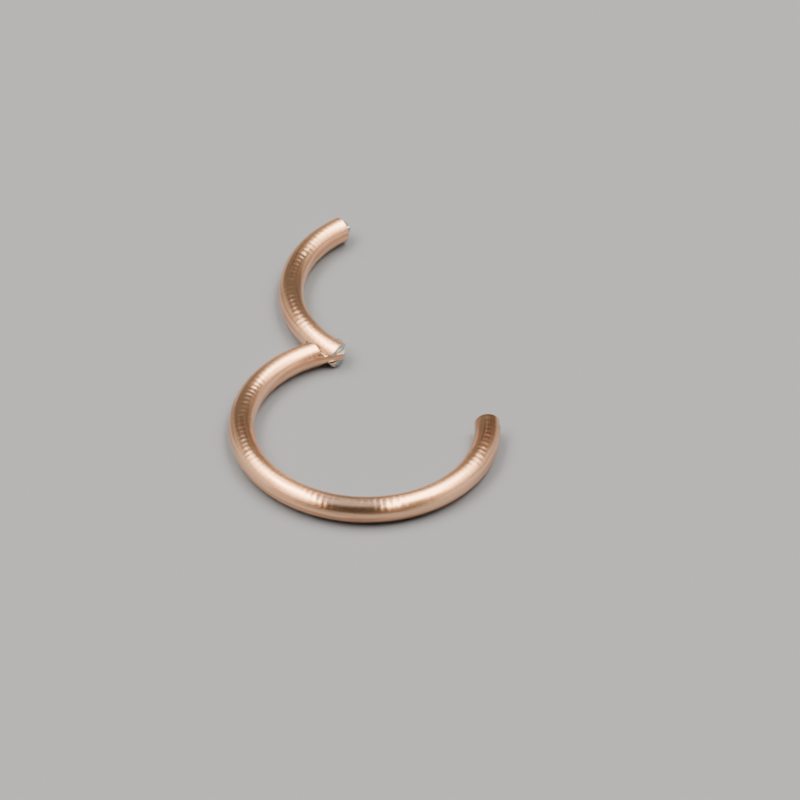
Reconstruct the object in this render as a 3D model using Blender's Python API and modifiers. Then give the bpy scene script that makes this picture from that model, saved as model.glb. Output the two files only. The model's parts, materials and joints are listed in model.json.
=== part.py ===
# Hinged nose ring: a round wire bent to a circle and parted in two arcs.
# The hoop is the long arc, and the gate is the short one, shown swung open.
# The hoop's end is milled to a flat tongue, which runs between two ears of
# the gate on a riveted pin. A tab on the gate's free end snaps into a slot in
# the free end of the hoop. The ring lies on its side, so the pin stands upright.
import math

import bmesh
import bpy
from mathutils import Matrix, Vector

MM = 0.001

# Wire and ring
WIRE_DIAMETER = 1.2 * MM
INNER_DIAMETER = 10.0 * MM

# Places on the ring, counter-clockwise from +X about its centre, seen from above
HINGE_ANGLE = math.radians(107.2)
CATCH_ANGLE = math.radians(4.9)

# The gate's swing, counted outwards from closed
OPEN_ANGLE = math.radians(121.5)
FULL_OPEN_ANGLE = math.radians(125.0)

# Hinge: reaches are measured along the wire past the pin, and a corner is how
# far the rounded end stands out past the wire's own radius about the pin
TONGUE_THICKNESS = 0.40 * MM
TONGUE_REACH = 0.60 * MM
TONGUE_CORNER = 0.13 * MM
EAR_REACH = 0.54 * MM
EAR_CORNER = 0.08 * MM
PIN_DIAMETER = 0.40 * MM

# Catch: the tab stands out of the gate's end face
TAB_LENGTH = 0.36 * MM
TAB_WIDTH = 0.50 * MM
TAB_THICKNESS = 0.36 * MM
TAB_ROOT = 0.30 * MM

# Clearances
SIDE_GAP = 0.03 * MM
SWING_GAP = 0.05 * MM
PIN_RUNNING_GAP = 0.03 * MM
PIN_SEAT_GAP = 0.01 * MM
CATCH_GAP = 0.04 * MM
END_GAP = 0.05 * MM

# Fineness of the round shapes
WIRE_SIDES = 24
ARC_STEP = math.radians(4.0)
ROUNDING_SIDES = 48
PIN_SIDES = 24

# Colours as linear values
ROSE_GOLD = (0.72, 0.45, 0.33)
BARE_STEEL = (0.58, 0.56, 0.53)

WIRE_RADIUS = WIRE_DIAMETER / 2
RING_RADIUS = INNER_DIAMETER / 2 + WIRE_RADIUS
QUARTER_TURN = math.pi / 2
PIVOT = Vector((math.cos(HINGE_ANGLE), math.sin(HINGE_ANGLE), 0.0)) * RING_RADIUS

# Directions of the wire at the pin, away along each body
HOOP_HEADING = HINGE_ANGLE + QUARTER_TURN
GATE_HEADING = HINGE_ANGLE - QUARTER_TURN

# Longer than any wall that a cutter goes through
CUT_LENGTH = 4 * WIRE_DIAMETER


def clear_scene():
    for obj in list(bpy.data.objects):
        bpy.data.objects.remove(obj, do_unlink=True)


def new_collection(name):
    collection = bpy.data.collections.new(name)
    bpy.context.scene.collection.children.link(collection)
    return collection


def new_empty(name, collection, location, parent=None):
    empty = bpy.data.objects.new(name, None)
    collection.objects.link(empty)
    empty.location = location
    empty.parent = parent
    return empty


def new_object(name, bm, collection, parent, location):
    mesh = bpy.data.meshes.new(name)
    bm.to_mesh(mesh)
    bm.free()
    obj = bpy.data.objects.new(name, mesh)
    collection.objects.link(obj)
    obj.parent = parent
    obj.location = location
    return obj


def metal(name, color, roughness):
    material = bpy.data.materials.new(name)
    material.use_nodes = True
    shader = material.node_tree.nodes["Principled BSDF"]
    shader.inputs["Base Color"].default_value = (*color, 1.0)
    shader.inputs["Metallic"].default_value = 1.0
    shader.inputs["Roughness"].default_value = roughness
    return material


def finish(obj, material):
    obj.data.materials.append(material)
    obj.data.shade_smooth()
    obj.data.set_sharp_from_angle(angle=math.radians(30))


def wire_arc(start, end):
    # A round section stood upright on the ring's circle, swept round it and capped.
    # One of its sides faces straight down, so that the ring lies flat on it.
    bm = bmesh.new()
    corner_radius = WIRE_RADIUS / math.cos(math.pi / WIRE_SIDES)
    bmesh.ops.create_circle(bm, cap_ends=False, segments=WIRE_SIDES, radius=corner_radius)
    half_side = Matrix.Rotation(math.pi / WIRE_SIDES, 4, "Z")
    upright = Matrix.Rotation(QUARTER_TURN, 4, "X")
    outwards = Matrix.Translation((RING_RADIUS, 0, 0))
    to_start = Matrix.Rotation(start, 4, "Z")
    bmesh.ops.transform(bm, matrix=to_start @ outwards @ upright @ half_side, verts=bm.verts)
    steps = math.ceil((end - start) / ARC_STEP)
    section = bm.verts[:] + bm.edges[:]
    bmesh.ops.spin(bm, geom=section, cent=(0, 0, 0), axis=(0, 0, 1), angle=end - start, steps=steps)
    bmesh.ops.holes_fill(bm, edges=[edge for edge in bm.edges if edge.is_boundary])
    bmesh.ops.recalc_face_normals(bm, faces=bm.faces)
    return bm


def box(low, high, heading=0.0, place=(0, 0, 0)):
    # From corner to corner along the heading, then moved to its place
    low, high = Vector(low), Vector(high)
    bm = bmesh.new()
    bmesh.ops.create_cube(bm, size=1.0)
    grow = Matrix.Diagonal((*(high - low), 1.0))
    centre = Matrix.Translation((low + high) / 2)
    turn = Matrix.Translation(place) @ Matrix.Rotation(heading, 4, "Z")
    bmesh.ops.transform(bm, matrix=turn @ centre @ grow, verts=bm.verts)
    return bm


def round_bar(radius, bottom, top, sides):
    # An upright bar about the pin's axis
    bm = bmesh.new()
    bmesh.ops.create_cone(
        bm, cap_ends=True, segments=sides, radius1=radius, radius2=radius, depth=top - bottom
    )
    bmesh.ops.translate(bm, verts=bm.verts, vec=PIVOT + Vector((0, 0, (bottom + top) / 2)))
    return bm


def cut(target, name, bm, both_layers=False):
    cutter = new_object(name, bm, cutters, target.parent, target.location)
    cutter.hide_render = True
    cutter.display_type = "WIRE"
    if both_layers:
        mirror = cutter.modifiers.new("below", "MIRROR")
        mirror.use_axis = (False, False, True)
        mirror.merge_threshold = 0.01 * SIDE_GAP
    modifier = target.modifiers.new(name, "BOOLEAN")
    modifier.operation = "DIFFERENCE"
    modifier.solver = "EXACT"
    modifier.object = cutter
    return cutter


def join(target, name, bm):
    added = cut(target, name, bm)
    target.modifiers[name].operation = "UNION"
    return added


def round_off(target, name, heading, radius):
    # Rounds the wire's end about the pin, on the side that the heading points to
    corner = (0, -CUT_LENGTH, -CUT_LENGTH)
    frame = cut(target, name, box(corner, (CUT_LENGTH,) * 3, heading, PIVOT))
    bore = round_bar(radius, -2 * CUT_LENGTH, 2 * CUT_LENGTH, ROUNDING_SIDES)
    cut(frame, name + "_bore", bore)


def clear_swing(target, name, low, high, radius, heading):
    # Frees the layer between two heights for the other body's end, which turns
    # about the pin, and for its wire, which lies along the heading at full swing.
    # Seen from above the cut is a keyhole: a round with a straight way out of it.
    turn_radius = radius + SWING_GAP
    half_width = WIRE_RADIUS + SWING_GAP
    mouth = math.asin(half_width / turn_radius)
    sweep = 2 * (math.pi - mouth)
    angles = [mouth + sweep * i / ROUNDING_SIDES for i in range(ROUNDING_SIDES + 1)]
    outline = [(turn_radius * math.cos(a), turn_radius * math.sin(a)) for a in angles]
    outline += [(CUT_LENGTH, -half_width), (CUT_LENGTH, half_width)]
    bm = bmesh.new()
    keyhole = bm.faces.new([bm.verts.new((x, y, low)) for x, y in outline])
    raised = bmesh.ops.extrude_face_region(bm, geom=[keyhole])["geom"]
    top = [item for item in raised if isinstance(item, bmesh.types.BMVert)]
    bmesh.ops.translate(bm, verts=top, vec=(0, 0, high - low))
    bmesh.ops.recalc_face_normals(bm, faces=bm.faces)
    turn = Matrix.Translation(PIVOT) @ Matrix.Rotation(heading, 4, "Z")
    bmesh.ops.transform(bm, matrix=turn, verts=bm.verts)
    cut(target, name, bm, both_layers=low > 0)


def make_hoop():
    start = HINGE_ANGLE - TONGUE_REACH / RING_RADIUS
    end = CATCH_ANGLE + 2 * math.pi
    hoop = new_object("hoop", wire_arc(start, end), ring, ring_frame, (0, 0, 0))
    round_off(hoop, "tongue_end", GATE_HEADING, WIRE_RADIUS + TONGUE_CORNER)
    clear_swing(
        hoop,
        "ear_swing",
        TONGUE_THICKNESS / 2,
        CUT_LENGTH,
        WIRE_RADIUS + EAR_CORNER,
        GATE_HEADING + FULL_OPEN_ANGLE,
    )
    hole = round_bar(PIN_DIAMETER / 2 + PIN_RUNNING_GAP, -CUT_LENGTH, CUT_LENGTH, PIN_SIDES)
    cut(hoop, "tongue_hole", hole)
    # The tab comes in slantwise from the outer side, so the slot is open there
    half_width = TAB_WIDTH / 2 + CATCH_GAP
    half_height = TAB_THICKNESS / 2 + CATCH_GAP
    depth = TAB_LENGTH - END_GAP + CATCH_GAP
    end_face = Matrix.Rotation(CATCH_ANGLE, 4, "Z") @ Vector((RING_RADIUS, 0, 0))
    slot = box(
        (-half_width, -depth, -half_height),
        (CUT_LENGTH, CUT_LENGTH, half_height),
        CATCH_ANGLE,
        end_face,
    )
    cut(hoop, "catch_slot", slot)
    finish(hoop, metal("hoop_rose_gold", ROSE_GOLD, 0.22))


def make_gate():
    # Modelled closed, round the same centre as the hoop, and turned by its axis
    start = CATCH_ANGLE + END_GAP / RING_RADIUS
    end = HINGE_ANGLE + EAR_REACH / RING_RADIUS
    gate = new_object("gate", wire_arc(start, end), ring, hinge_axis, -PIVOT)
    round_off(gate, "ear_ends", HOOP_HEADING, WIRE_RADIUS + EAR_CORNER)
    half_height = TONGUE_THICKNESS / 2 + SIDE_GAP
    clear_swing(
        gate,
        "tongue_swing",
        -half_height,
        half_height,
        WIRE_RADIUS + TONGUE_CORNER,
        HOOP_HEADING - FULL_OPEN_ANGLE,
    )
    hole = round_bar(PIN_DIAMETER / 2 + PIN_SEAT_GAP, -CUT_LENGTH, CUT_LENGTH, PIN_SIDES)
    cut(gate, "ear_holes", hole)
    end_face = Matrix.Rotation(start, 4, "Z") @ Vector((RING_RADIUS, 0, 0))
    tab = box(
        (-TAB_WIDTH / 2, -TAB_LENGTH, -TAB_THICKNESS / 2),
        (TAB_WIDTH / 2, TAB_ROOT, TAB_THICKNESS / 2),
        start,
        end_face,
    )
    join(gate, "catch_tab", tab)
    finish(gate, metal("gate_rose_gold", ROSE_GOLD, 0.22))


def make_hinge_pin():
    # As long as the wire is thick at the pin's edge, so that nothing stands out
    half_length = math.sqrt(WIRE_RADIUS**2 - (PIN_DIAMETER / 2) ** 2)
    bar = round_bar(PIN_DIAMETER / 2, -half_length, half_length, PIN_SIDES)
    pin = new_object("hinge_pin", bar, ring, hinge_axis, -PIVOT)
    finish(pin, metal("pin_steel", BARE_STEEL, 0.3))


def stand_on_box_centre():
    # Moves the ring so that the middle of its box's underside is the origin
    bpy.context.view_layer.update()
    graph = bpy.context.evaluated_depsgraph_get()
    corners = []
    for obj in ring.objects:
        if obj.type != "MESH":
            continue
        shape = obj.evaluated_get(graph)
        corners += [shape.matrix_world @ vertex.co for vertex in shape.data.vertices]
    low = Vector(min(corner[axis] for corner in corners) for axis in range(3))
    high = Vector(max(corner[axis] for corner in corners) for axis in range(3))
    ring_frame.location -= Vector(((low.x + high.x) / 2, (low.y + high.y) / 2, low.z))


clear_scene()
ring = new_collection("nose_ring")
cutters = new_collection("cutters")
ring_frame = new_empty("ring_frame", ring, (0, 0, 0))
hinge_axis = new_empty("hinge_axis", ring, PIVOT, ring_frame)
hinge_axis.rotation_euler.z = OPEN_ANGLE
make_hoop()
make_gate()
make_hinge_pin()
stand_on_box_centre()
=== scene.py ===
import json
import math

import bpy
from mathutils import Matrix, Vector


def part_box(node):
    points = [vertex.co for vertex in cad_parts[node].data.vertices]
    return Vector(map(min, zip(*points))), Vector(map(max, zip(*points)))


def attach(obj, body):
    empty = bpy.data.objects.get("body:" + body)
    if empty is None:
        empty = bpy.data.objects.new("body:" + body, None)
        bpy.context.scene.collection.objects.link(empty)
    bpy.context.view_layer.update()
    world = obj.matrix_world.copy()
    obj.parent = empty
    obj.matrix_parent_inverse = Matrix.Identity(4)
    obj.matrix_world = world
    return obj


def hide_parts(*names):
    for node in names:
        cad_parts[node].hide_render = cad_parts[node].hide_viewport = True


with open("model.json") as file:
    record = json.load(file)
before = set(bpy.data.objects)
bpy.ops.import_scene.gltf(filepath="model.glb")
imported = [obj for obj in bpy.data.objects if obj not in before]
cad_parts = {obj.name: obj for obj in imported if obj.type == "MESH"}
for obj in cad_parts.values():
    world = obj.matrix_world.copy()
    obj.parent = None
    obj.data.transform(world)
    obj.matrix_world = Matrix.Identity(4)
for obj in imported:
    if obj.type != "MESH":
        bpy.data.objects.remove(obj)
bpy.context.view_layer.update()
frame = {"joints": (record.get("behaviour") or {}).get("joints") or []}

mm = 0.001
quarterTurn = math.pi / 2

# a nose ring of round wire that opens on a hinge, and lies on its side
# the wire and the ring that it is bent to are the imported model's, a hair smaller
inset = {"wire": 0.002 * mm, "ring": 0.001 * mm}
hoopLow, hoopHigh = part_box("hoop")
wireRadius = (hoopHigh.z - hoopLow.z) / 2 - inset["wire"]
ringRadius = (hoopHigh.x - hoopLow.x) / 2 - wireRadius - inset["ring"]
hinge = next(joint for joint in frame["joints"] if joint["name"] == "gate_hinge")
pivot = Vector(hinge["pos_m"])

# the angles are those of the source, about each arc's own centre
ring = {
    "hingeAngle": math.radians(107.2),
    "catchAngle": math.radians(4.9),
    "openAngle": math.radians(121.5),
    "fullOpenAngle": math.radians(125.0),
    "sides": 68,
    "stepAngle": math.radians(2.0),
}


def onCircle(centre, radius, angle, height=0.0):
    return centre + Vector((radius * math.cos(angle), radius * math.sin(angle), height))


# each body: the centre that its arc bends round, and how far it is turned from closed
hoopCentre = onCircle(pivot, -ringRadius, ring["hingeAngle"])
swing = Matrix.Rotation(ring["openAngle"], 3, "Z")
gateCentre = pivot + swing @ (hoopCentre - pivot)


# helpers for modelling by hand

def pick(*objects):
    bpy.ops.object.select_all(action="DESELECT")
    for obj in objects:
        obj.select_set(True)
    bpy.context.view_layer.objects.active = objects[0]


def edit(obj, select="SELECT"):
    pick(obj)
    bpy.ops.object.mode_set(mode="EDIT")
    bpy.ops.mesh.select_all(action=select)


def leaveEdit():
    bpy.ops.mesh.select_all(action="SELECT")
    bpy.ops.mesh.normals_make_consistent(inside=False)
    bpy.ops.object.mode_set(mode="OBJECT")


def settle(obj):
    # the place goes into the mesh, so the object ends up at the origin
    pick(obj)
    bpy.ops.object.transform_apply(location=True, rotation=True, scale=True)


def applyAll(obj):
    pick(obj)
    for modifier in list(obj.modifiers):
        bpy.ops.object.modifier_apply(modifier=modifier.name)


def combine(target, tool, operation="DIFFERENCE"):
    modifier = target.modifiers.new("combine", "BOOLEAN")
    modifier.operation = operation
    modifier.solver = "EXACT"
    modifier.object = tool
    applyAll(target)
    bpy.data.objects.remove(tool, do_unlink=True)


def addBox(low, high, centre, heading):
    size = Vector(high) - Vector(low)
    middle = (Vector(low) + Vector(high)) / 2
    turn = Matrix.Rotation(heading, 3, "Z")
    bpy.ops.object.select_all(action="DESELECT")
    place = centre + turn @ middle
    bpy.ops.mesh.primitive_cube_add(size=1, location=place, rotation=(0, 0, heading))
    box = bpy.context.object
    box.scale = size
    settle(box)
    return box


def addBar(radius, low, high, sides, heading=0.0):
    # an upright round bar on the hinge's axis
    bpy.ops.object.select_all(action="DESELECT")
    bpy.ops.mesh.primitive_cylinder_add(
        vertices=sides,
        radius=radius,
        depth=high - low,
        location=pivot + Vector((0, 0, (low + high) / 2)),
        rotation=(0, 0, heading),
    )
    bar = bpy.context.object
    settle(bar)
    return bar


def addWire(name, centre, start, end):
    steps = math.ceil((end - start) / ring["stepAngle"])
    bpy.ops.object.select_all(action="DESELECT")
    bpy.ops.mesh.primitive_circle_add(
        vertices=ring["sides"],
        radius=wireRadius,
        location=onCircle(centre, ringRadius, start),
        rotation=(quarterTurn, 0, start),
    )
    wire = bpy.context.object
    wire.name = name
    settle(wire)
    edit(wire)
    bpy.ops.mesh.spin(steps=steps, angle=start - end, center=centre, axis=(0, 0, 1))
    bpy.ops.mesh.select_all(action="SELECT")
    bpy.ops.mesh.fill_holes(sides=ring["sides"])
    leaveEdit()
    return wire


def addKeyhole(radius, halfWidth, low, high, heading):
    # a round bar with a straight way out of it: its side faces towards the heading are drawn out
    bar = addBar(radius, low, high, keyhole["sides"], heading)
    away = Vector((math.cos(heading), math.sin(heading), 0))
    reach = math.sqrt(radius**2 - halfWidth**2) / radius
    edit(bar, "DESELECT")
    bpy.ops.mesh.select_mode(type="FACE")
    bpy.ops.object.mode_set(mode="OBJECT")
    for face in bar.data.polygons:
        face.select = abs(face.normal.z) < 0.5 and face.normal.dot(away) > reach
    bpy.ops.object.mode_set(mode="EDIT")
    bpy.ops.mesh.extrude_region_move(TRANSFORM_OT_translate={"value": away * keyhole["length"]})
    leaveEdit()
    return bar


keyhole = {"sides": 72, "length": 5 * mm}
cutLength = 5 * mm


def roundEnd(wire, heading, radius):
    # takes off the corners that stand out past a round about the hinge's axis
    block = addBox((0, -cutLength, -cutLength), (cutLength, cutLength, cutLength), pivot, heading)
    combine(block, addBar(radius, -2 * cutLength, 2 * cutLength, keyhole["sides"]))
    combine(wire, block)


# which of a piece's materials a face takes
surfaces = {"skin": 0, "milled": 1, "edge": 2}


def addSlots(piece):
    for slot in range(len(surfaces) - len(piece.data.materials)):
        piece.data.materials.append(None)


def breakEdges(piece):
    # sharp edges get a narrow rounding, but not the rims of the pin's hole
    edit(piece)
    bpy.ops.mesh.remove_doubles(threshold=edges["merge"])
    leaveEdit()
    mesh = piece.data
    facing = {}
    for face in mesh.polygons:
        for key in face.edge_keys:
            facing.setdefault(key, []).append(face.normal)
    weights = []
    for edge in mesh.edges:
        sides = facing.get(tuple(sorted(edge.vertices)), [])
        sharp = len(sides) == 2 and sides[0].angle(sides[1], 0) > edges["limit"]
        ends = [mesh.vertices[index].co for index in edge.vertices]
        away = min(math.hypot(end.x - pivot.x, end.y - pivot.y) for end in ends)
        weights.append(1.0 if sharp and away > edges["hingeClear"] else 0.0)
    mesh.attributes.new("bevel_weight_edge", "FLOAT", "EDGE").data.foreach_set("value", weights)
    addSlots(piece)
    bevel = piece.modifiers.new("edges", "BEVEL")
    bevel.limit_method = "WEIGHT"
    bevel.width = edges["width"]
    bevel.segments = edges["segments"]
    bevel.use_clamp_overlap = False
    bevel.material = surfaces["edge"]
    applyAll(piece)


hinged = {
    "tongueThickness": 0.40 * mm,
    "tongueReach": 0.60 * mm,
    "tongueCorner": 0.13 * mm,
    "earReach": 0.54 * mm,
    "earCorner": 0.08 * mm,
    "sideGap": 0.03 * mm,
    "swingGap": 0.05 * mm,
    "relief": 0.03 * mm,
    "pinRadius": 0.20 * mm,
    "pinGap": 0.012 * mm,
    "pinSides": 32,
    "pinReach": 0.1,  # radians of wire either side of the pin that its ends are cut from
}

catch = {
    "tabLength": 0.36 * mm,
    "tabWidth": 0.50 * mm,
    "tabThickness": 0.36 * mm,
    "tabRoot": 0.30 * mm,
    "tabRounding": 0.05 * mm,
    "tabSegments": 3,
    "gap": 0.04 * mm,
    "endGap": 0.05 * mm,
}

edges = {
    "width": 0.014 * mm,
    "segments": 2,
    "limit": math.radians(35),
    "merge": 0.003 * mm,
    "hingeClear": 0.25 * mm,
}


def makeHoop():
    start = ring["hingeAngle"] - hinged["tongueReach"] / ringRadius
    end = ring["catchAngle"] + 2 * math.pi
    hoop = addWire("hoopWire", hoopCentre, start, end)
    roundEnd(hoop, ring["hingeAngle"] - quarterTurn, wireRadius + hinged["tongueCorner"])
    turnRadius = wireRadius + hinged["earCorner"] + hinged["swingGap"] + hinged["relief"]
    halfWidth = wireRadius + hinged["swingGap"]
    heading = ring["hingeAngle"] - quarterTurn + ring["fullOpenAngle"]
    half = hinged["tongueThickness"] / 2
    combine(hoop, addKeyhole(turnRadius, halfWidth, half, cutLength, heading))
    combine(hoop, addKeyhole(turnRadius, halfWidth, -cutLength, -half, heading))
    holeRadius = hinged["pinRadius"] + hinged["sideGap"]
    combine(hoop, addBar(holeRadius, -cutLength, cutLength, hinged["pinSides"]))
    endFace = onCircle(hoopCentre, ringRadius, ring["catchAngle"])
    halfSlot = catch["tabWidth"] / 2 + catch["gap"]
    halfHeight = catch["tabThickness"] / 2 + catch["gap"]
    depth = catch["tabLength"] - catch["endGap"] + catch["gap"]
    slotLow = (-halfSlot, -depth, -halfHeight)
    slotHigh = (cutLength, cutLength, halfHeight)
    combine(hoop, addBox(slotLow, slotHigh, endFace, ring["catchAngle"]))
    return hoop


def makeGate():
    turned = ring["openAngle"]
    start = ring["catchAngle"] + catch["endGap"] / ringRadius + turned
    end = ring["hingeAngle"] + hinged["earReach"] / ringRadius + turned
    gate = addWire("gateWire", gateCentre, start, end)
    roundEnd(gate, ring["hingeAngle"] + quarterTurn + turned, wireRadius + hinged["earCorner"])
    turnRadius = wireRadius + hinged["tongueCorner"] + hinged["swingGap"]
    halfWidth = wireRadius + hinged["swingGap"]
    heading = ring["hingeAngle"] + quarterTurn - ring["fullOpenAngle"] + turned
    half = hinged["tongueThickness"] / 2 + hinged["sideGap"]
    combine(gate, addKeyhole(turnRadius, halfWidth, -half, half, heading))
    holeRadius = hinged["pinRadius"] + hinged["pinGap"]
    combine(gate, addBar(holeRadius, -cutLength, cutLength, hinged["pinSides"]))
    endFace = onCircle(gateCentre, ringRadius, start)
    tab = addBox(
        (-catch["tabWidth"] / 2, -catch["tabLength"], -catch["tabThickness"] / 2),
        (catch["tabWidth"] / 2, catch["tabRoot"], catch["tabThickness"] / 2),
        endFace,
        start,
    )
    edit(tab)
    rounding, segments = catch["tabRounding"], catch["tabSegments"]
    bpy.ops.mesh.bevel(offset=rounding, segments=segments, affect="EDGES")
    leaveEdit()
    combine(gate, tab, "UNION")
    return gate


def makePin():
    # peened over and polished flush, so its ends follow the wire
    pin = addBar(hinged["pinRadius"], -cutLength, cutLength, hinged["pinSides"])
    pin.name = "hingePin"
    middle = ring["hingeAngle"] + ring["openAngle"]
    ends = addWire("pinEnds", gateCentre, middle - hinged["pinReach"], middle + hinged["pinReach"])
    combine(pin, ends, "INTERSECT")
    addSlots(pin)
    return pin


# a face is wire skin where it lies on the round wire, in millimetres, and looks straight out of it
mapping = {"tolerance": 0.0045, "facing": 0.96, "lead": 0.3}


def wirePlace(point, centre, start):
    # along the wire, out from the ring's centre, and up, in millimetres
    away = point - centre
    lead = mapping["lead"]
    along = (math.atan2(away.y, away.x) - start + lead) % (2 * math.pi) - lead
    out = math.hypot(away.x, away.y) - ringRadius
    return along * ringRadius / mm, out / mm, away.z / mm


def outOfWire(point, centre):
    away = point - centre
    outward = Vector((away.x, away.y, 0)).normalized()
    return (away - outward * ringRadius).normalized()


def mapWire(piece, centre, start):
    mesh = piece.data
    places = [wirePlace(vertex.co, centre, start) for vertex in mesh.vertices]
    place = mesh.attributes.new("wirePlace", "FLOAT_VECTOR", "POINT")
    place.data.foreach_set("vector", [value for triple in places for value in triple])
    radius = wireRadius / mm
    tolerance = mapping["tolerance"]
    surface = [abs(math.hypot(out, up) - radius) < tolerance for along, out, up in places]
    skin = set()
    for face in mesh.polygons:
        if face.material_index == surfaces["edge"]:
            continue
        onWire = all(surface[index] for index in face.vertices)
        onWire = onWire and face.normal.dot(outOfWire(face.center, centre)) > mapping["facing"]
        face.material_index = surfaces["skin" if onWire else "milled"]
        if onWire:
            skin.update(face.vertices)
    flat = {}
    for face in mesh.polygons:
        if face.material_index == surfaces["milled"]:
            for index in face.vertices:
                flat.setdefault(index, face.normal.copy())
    # round the wire to the right and along it upwards, so that the grain has a direction everywhere
    grain = mesh.uv_layers.new(name="grain")
    normals = [Vector((0, 0, 0))] * len(mesh.loops)
    for face in mesh.polygons:
        middle = wirePlace(face.center, centre, start)
        turn = math.atan2(middle[2], middle[1])
        for loop in face.loop_indices:
            index = mesh.loops[loop].vertex_index
            along, out, up = places[index]
            around = (math.atan2(up, out) - turn + math.pi) % (2 * math.pi) - math.pi + turn
            grain.data[loop].uv = (around * radius, along)
            edgeOnSkin = face.material_index == surfaces["edge"] and index in skin
            if face.material_index == surfaces["skin"] or edgeOnSkin:
                normals[loop] = outOfWire(mesh.vertices[index].co, centre)
            elif face.material_index == surfaces["milled"]:
                normals[loop] = face.normal
            elif index in flat:
                normals[loop] = flat[index]
    pick(piece)
    bpy.ops.object.shade_smooth()
    mesh.normals_split_custom_set(normals)


# materials

roseGold = {
    "base": (0.95, 0.585, 0.370),
    "drawn": (0.66, 0.34, 0.21),
    "roughness": (0.19, 0.27),
    "anisotropic": 0.95,
    "colorRange": (0.46, 0.62),
    "roughRange": (0.35, 0.65),
    "streakScale": (0.28, 5.0, 5.0),
    "streakDepth": 0.0060 * mm,
    "hairScale": (0.7, 13.0, 13.0),
    "hairDepth": 0.0020 * mm,
    "rippleScale": 1.10,
    "rippleDistortion": 3.0,
    "rippleDetailScale": 0.5,
    "rippleDepth": 0.0018 * mm,
    "dimpleScale": (3.4, 1.7, 1.7),
    "dimpleDepth": 0.0040 * mm,
    "waveScale": 0.5,
    "waveDepth": 0.010 * mm,
}
steel = {
    "base": (0.52, 0.56, 0.57),
    "roughness": (0.20, 0.34),
    "roughRange": (0.3, 0.7),
    "millScale": (14.0, 1.5, 14.0),
    "millDepth": 0.0006 * mm,
}


def newMetal(name):
    material = bpy.data.materials.new(name)
    material.use_nodes = True
    shader = material.node_tree.nodes["Principled BSDF"]
    shader.inputs["Metallic"].default_value = 1
    return material, material.node_tree.nodes, material.node_tree.links, shader


def addPlace(nodes):
    place = nodes.new("ShaderNodeAttribute")
    place.attribute_name = "wirePlace"
    return place.outputs["Vector"]


def addNoise(nodes, links, place, scale, detail, roughness=0.5):
    mapping = nodes.new("ShaderNodeMapping")
    mapping.inputs["Scale"].default_value = scale
    noise = nodes.new("ShaderNodeTexNoise")
    noise.inputs["Scale"].default_value = 1
    noise.inputs["Detail"].default_value = detail
    noise.inputs["Roughness"].default_value = roughness
    links.new(place, mapping.inputs["Vector"])
    links.new(mapping.outputs["Vector"], noise.inputs["Vector"])
    return noise.outputs["Fac"]


def addRange(nodes, links, value, span, result):
    spread = nodes.new("ShaderNodeMapRange")
    spread.inputs["From Min"].default_value = span[0]
    spread.inputs["From Max"].default_value = span[1]
    spread.inputs["To Min"].default_value = result[0]
    spread.inputs["To Max"].default_value = result[1]
    links.new(value, spread.inputs["Value"])
    return spread.outputs["Result"]


def addBump(nodes, links, height, depth, under=None):
    bump = nodes.new("ShaderNodeBump")
    bump.inputs["Strength"].default_value = 1
    bump.inputs["Distance"].default_value = depth
    links.new(height, bump.inputs["Height"])
    if under:
        links.new(under, bump.inputs["Normal"])
    return bump.outputs["Normal"]


def makeRoseGold():
    # polished along the drawn wire: long faint streaks, and slight ripples across from bending
    material, nodes, links, shader = newMetal("roseGold")
    shader.inputs["Anisotropic"].default_value = roseGold["anisotropic"]
    tangent = nodes.new("ShaderNodeTangent")
    tangent.direction_type = "UV_MAP"
    tangent.uv_map = "grain"
    links.new(tangent.outputs["Tangent"], shader.inputs["Tangent"])
    place = addPlace(nodes)
    streaks = addNoise(nodes, links, place, roseGold["streakScale"], 4, 0.6)
    hairs = addNoise(nodes, links, place, roseGold["hairScale"], 2)
    waves = addNoise(nodes, links, place, (roseGold["waveScale"],) * 3, 1)
    color = nodes.new("ShaderNodeMix")
    color.data_type = "RGBA"
    color.inputs[6].default_value = (*roseGold["base"], 1)
    color.inputs[7].default_value = (*roseGold["drawn"], 1)
    links.new(addRange(nodes, links, streaks, roseGold["colorRange"], (0, 1)), color.inputs[0])
    links.new(color.outputs[2], shader.inputs["Base Color"])
    rough = addRange(nodes, links, streaks, roseGold["roughRange"], roseGold["roughness"])
    links.new(rough, shader.inputs["Roughness"])
    ripples = nodes.new("ShaderNodeTexWave")
    ripples.wave_type = "BANDS"
    ripples.bands_direction = "X"
    ripples.inputs["Scale"].default_value = roseGold["rippleScale"]
    ripples.inputs["Distortion"].default_value = roseGold["rippleDistortion"]
    ripples.inputs["Detail"].default_value = 1.0
    ripples.inputs["Detail Scale"].default_value = roseGold["rippleDetailScale"]
    links.new(place, ripples.inputs["Vector"])
    normal = addBump(nodes, links, waves, roseGold["waveDepth"])
    normal = addBump(nodes, links, ripples.outputs["Fac"], roseGold["rippleDepth"], normal)
    dimples = addNoise(nodes, links, place, roseGold["dimpleScale"], 1)
    normal = addBump(nodes, links, dimples, roseGold["dimpleDepth"], normal)
    normal = addBump(nodes, links, streaks, roseGold["streakDepth"], normal)
    normal = addBump(nodes, links, hairs, roseGold["hairDepth"], normal)
    links.new(normal, shader.inputs["Normal"])
    return material


def makeBareSteel():
    # cut faces, with the fine lines that the cutter left
    material, nodes, links, shader = newMetal("bareSteel")
    shader.inputs["Base Color"].default_value = (*steel["base"], 1)
    lines = addNoise(nodes, links, addPlace(nodes), steel["millScale"], 3)
    rough = addRange(nodes, links, lines, steel["roughRange"], steel["roughness"])
    links.new(rough, shader.inputs["Roughness"])
    links.new(addBump(nodes, links, lines, steel["millDepth"]), shader.inputs["Normal"])
    return material


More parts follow.
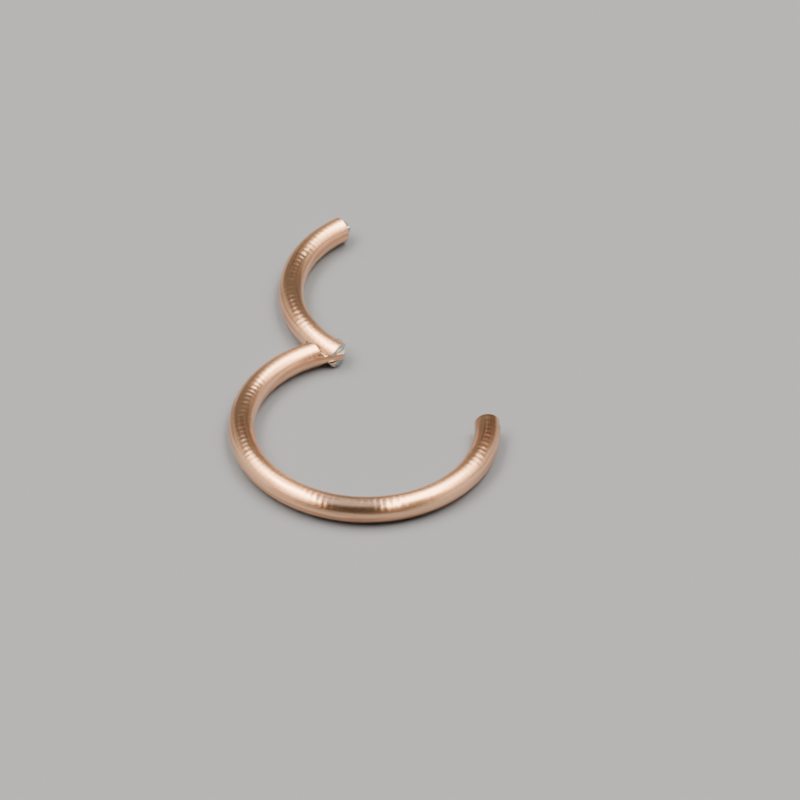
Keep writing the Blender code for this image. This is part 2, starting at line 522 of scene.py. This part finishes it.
def dress(piece, materials, body, node):
    for index, material in enumerate(materials):
        if index < len(piece.data.materials):
            piece.data.materials[index] = material
        else:
            piece.data.materials.append(material)
    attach(piece, body)
    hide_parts(node)


hoop = makeHoop()
breakEdges(hoop)
mapWire(hoop, hoopCentre, ring["hingeAngle"])
print("hoop", len(hoop.data.polygons))
gate = makeGate()
breakEdges(gate)
mapWire(gate, gateCentre, ring["openAngle"])
print("gate", len(gate.data.polygons))
pin = makePin()
mapWire(pin, gateCentre, ring["openAngle"])
print("pin", len(pin.data.polygons))
roseGoldMetal = makeRoseGold()
bareSteel = makeBareSteel()
dress(hoop, [roseGoldMetal, bareSteel, roseGoldMetal], "ring", "hoop")
dress(gate, [roseGoldMetal, bareSteel, roseGoldMetal], "gate", "gate")
dress(pin, [roseGoldMetal, bareSteel, roseGoldMetal], "gate", "hinge_pin")


# floor, lights and camera

floorLook = {"size": 12.0, "color": (0.190, 0.218, 0.284), "roughness": 0.7, "specular": 0.2}


def makeFloor():
    bpy.ops.object.select_all(action="DESELECT")
    bpy.ops.mesh.primitive_plane_add(size=floorLook["size"], location=(0, 0, 0))
    floor = bpy.context.object
    floor.name = "floor"
    material = bpy.data.materials.new("floorPaper")
    material.use_nodes = True
    shader = material.node_tree.nodes["Principled BSDF"]
    shader.inputs["Base Color"].default_value = (*floorLook["color"], 1)
    shader.inputs["Roughness"].default_value = floorLook["roughness"]
    shader.inputs["Specular IOR Level"].default_value = floorLook["specular"]
    floor.data.materials.append(material)


# two panels hang left and right with a wedge of dull ceiling between them
lights = {
    "height": 3.0,
    "panels": [
        # name, inner edge straight above, lean of that edge, width, near and far end, radiance, colour
        ("leftPanel", -0.33, 0.29, -0.50, -0.65, 0.75, 13.0, (1.0, 0.84, 0.62)),
        ("rightPanel", 0.165, -0.15, 0.55, -0.20, 0.80, 12.0, (1.0, 0.84, 0.62)),
        ("rightStrip", 0.165, -0.15, 0.17, -0.65, -0.20, 13.0, (1.0, 0.84, 0.62)),
        ("leftOuter", -0.83, 0.05, -0.55, -0.60, 0.65, 4.6, (1.0, 0.80, 0.54)),
        ("rightOuter", 0.75, 0.05, 0.60, -0.30, 0.65, 4.0, (1.0, 0.80, 0.54)),
        ("ceiling", -0.60, 0.0, 1.10, -0.35, 1.00, 0.66, (0.96, 1.03, 1.16)),
    ],
    "sides": 0.9,
    "sidesFrom": 0.55,
    "ambientSpan": 0.6,
    "ambientNear": 0.05,
    "ambientFar": 0.20,
    "ambientColor": (1.0, 0.90, 0.77),
    "backdrop": (0.60, 0.59, 0.57),
}


def makePanel(name, inner, lean, width, near, far, radiance, color):
    # measured on the ceiling in heights above the ring, right and far of the point straight above it
    height = lights["height"]
    length = (far - near) * math.hypot(1, lean)
    turn = math.atan2(-lean, 1)
    across = abs(width) / math.hypot(1, lean)
    middle = (near + far) / 2
    data = bpy.data.lights.new(name, "AREA")
    data.shape = "RECTANGLE"
    data.size = across * height
    data.size_y = length * height
    data.color = color
    data.energy = radiance * math.pi * data.size * data.size_y
    panel = bpy.data.objects.new(name, data)
    bpy.context.scene.collection.objects.link(panel)
    panel.location = hoopCentre + height * Vector((inner + lean * middle + width / 2, middle, 1))
    panel.rotation_euler = (0, 0, turn)
    panel.visible_camera = False


def makeWorld():
    # dim all round, a little lighter on the far side, and a plain pale backdrop to the eye
    world = bpy.data.worlds.new("studio")
    world.use_nodes = True
    nodes, links = world.node_tree.nodes, world.node_tree.links
    background = nodes["Background"]
    direction = nodes.new("ShaderNodeTexCoord")
    split = nodes.new("ShaderNodeSeparateXYZ")
    ambient = nodes.new("ShaderNodeMapRange")
    ambient.inputs["From Min"].default_value = -lights["ambientSpan"]
    ambient.inputs["From Max"].default_value = lights["ambientSpan"]
    ambient.inputs["To Min"].default_value = lights["ambientNear"]
    ambient.inputs["To Max"].default_value = lights["ambientFar"]
    links.new(direction.outputs["Generated"], split.inputs["Vector"])
    links.new(split.outputs["Y"], ambient.inputs["Value"])
    # low down on the left and on the right it brightens softly
    sideways = nodes.new("ShaderNodeMath")
    sideways.operation = "ABSOLUTE"
    glow = nodes.new("ShaderNodeMapRange")
    glow.interpolation_type = "SMOOTHSTEP"
    glow.inputs["From Min"].default_value = lights["sidesFrom"]
    glow.inputs["From Max"].default_value = 1.0
    glow.inputs["To Max"].default_value = lights["sides"]
    total = nodes.new("ShaderNodeMath")
    total.operation = "ADD"
    links.new(split.outputs["X"], sideways.inputs[0])
    links.new(sideways.outputs["Value"], glow.inputs["Value"])
    links.new(glow.outputs["Result"], total.inputs[0])
    links.new(ambient.outputs["Result"], total.inputs[1])
    links.new(total.outputs["Value"], background.inputs["Strength"])
    background.inputs["Color"].default_value = (*lights["ambientColor"], 1)
    backdrop = nodes.new("ShaderNodeBackground")
    backdrop.inputs["Color"].default_value = (*lights["backdrop"], 1)
    path = nodes.new("ShaderNodeLightPath")
    mix = nodes.new("ShaderNodeMixShader")
    links.new(path.outputs["Is Camera Ray"], mix.inputs["Fac"])
    links.new(background.outputs["Background"], mix.inputs[1])
    links.new(backdrop.outputs["Background"], mix.inputs[2])
    links.new(mix.outputs["Shader"], nodes["World Output"].inputs["Surface"])
    bpy.context.scene.world = world


view = {
    "elevation": math.radians(41.0),
    "roll": math.radians(1.3),
    "distance": 0.400,
    "ringRadiusPixels": 123.06,
    "ringCentrePixel": (364.5, 427.8),
    "framePixels": 800,
    "sensor": 36.0,
    "clip": (0.01, 50.0),
}


def makeCamera():
    elevation, roll = view["elevation"], view["roll"]
    forward = Vector((0, math.cos(elevation), -math.sin(elevation)))
    level = Vector((1, 0, 0))
    up = level.cross(forward)
    right = level * math.cos(roll) + up * math.sin(roll)
    up = up * math.cos(roll) - level * math.sin(roll)
    metresPerPixel = ringRadius / view["ringRadiusPixels"]
    middle = view["framePixels"] / 2
    data = bpy.data.cameras.new("camera")
    data.sensor_width = view["sensor"]
    data.lens = view["sensor"] * view["distance"] / (metresPerPixel * view["framePixels"])
    data.clip_start, data.clip_end = view["clip"]
    camera = bpy.data.objects.new("camera", data)
    bpy.context.scene.collection.objects.link(camera)
    place = hoopCentre - forward * view["distance"]
    place += right * (middle - view["ringCentrePixel"][0]) * metresPerPixel
    place += up * (view["ringCentrePixel"][1] - middle) * metresPerPixel
    turn = Matrix((right, up, -forward)).transposed().to_4x4()
    camera.matrix_world = Matrix.Translation(place) @ turn
    bpy.context.scene.camera = camera


makeFloor()
for panel in lights["panels"]:
    makePanel(*panel)
makeWorld()
makeCamera()
print("stage ready")
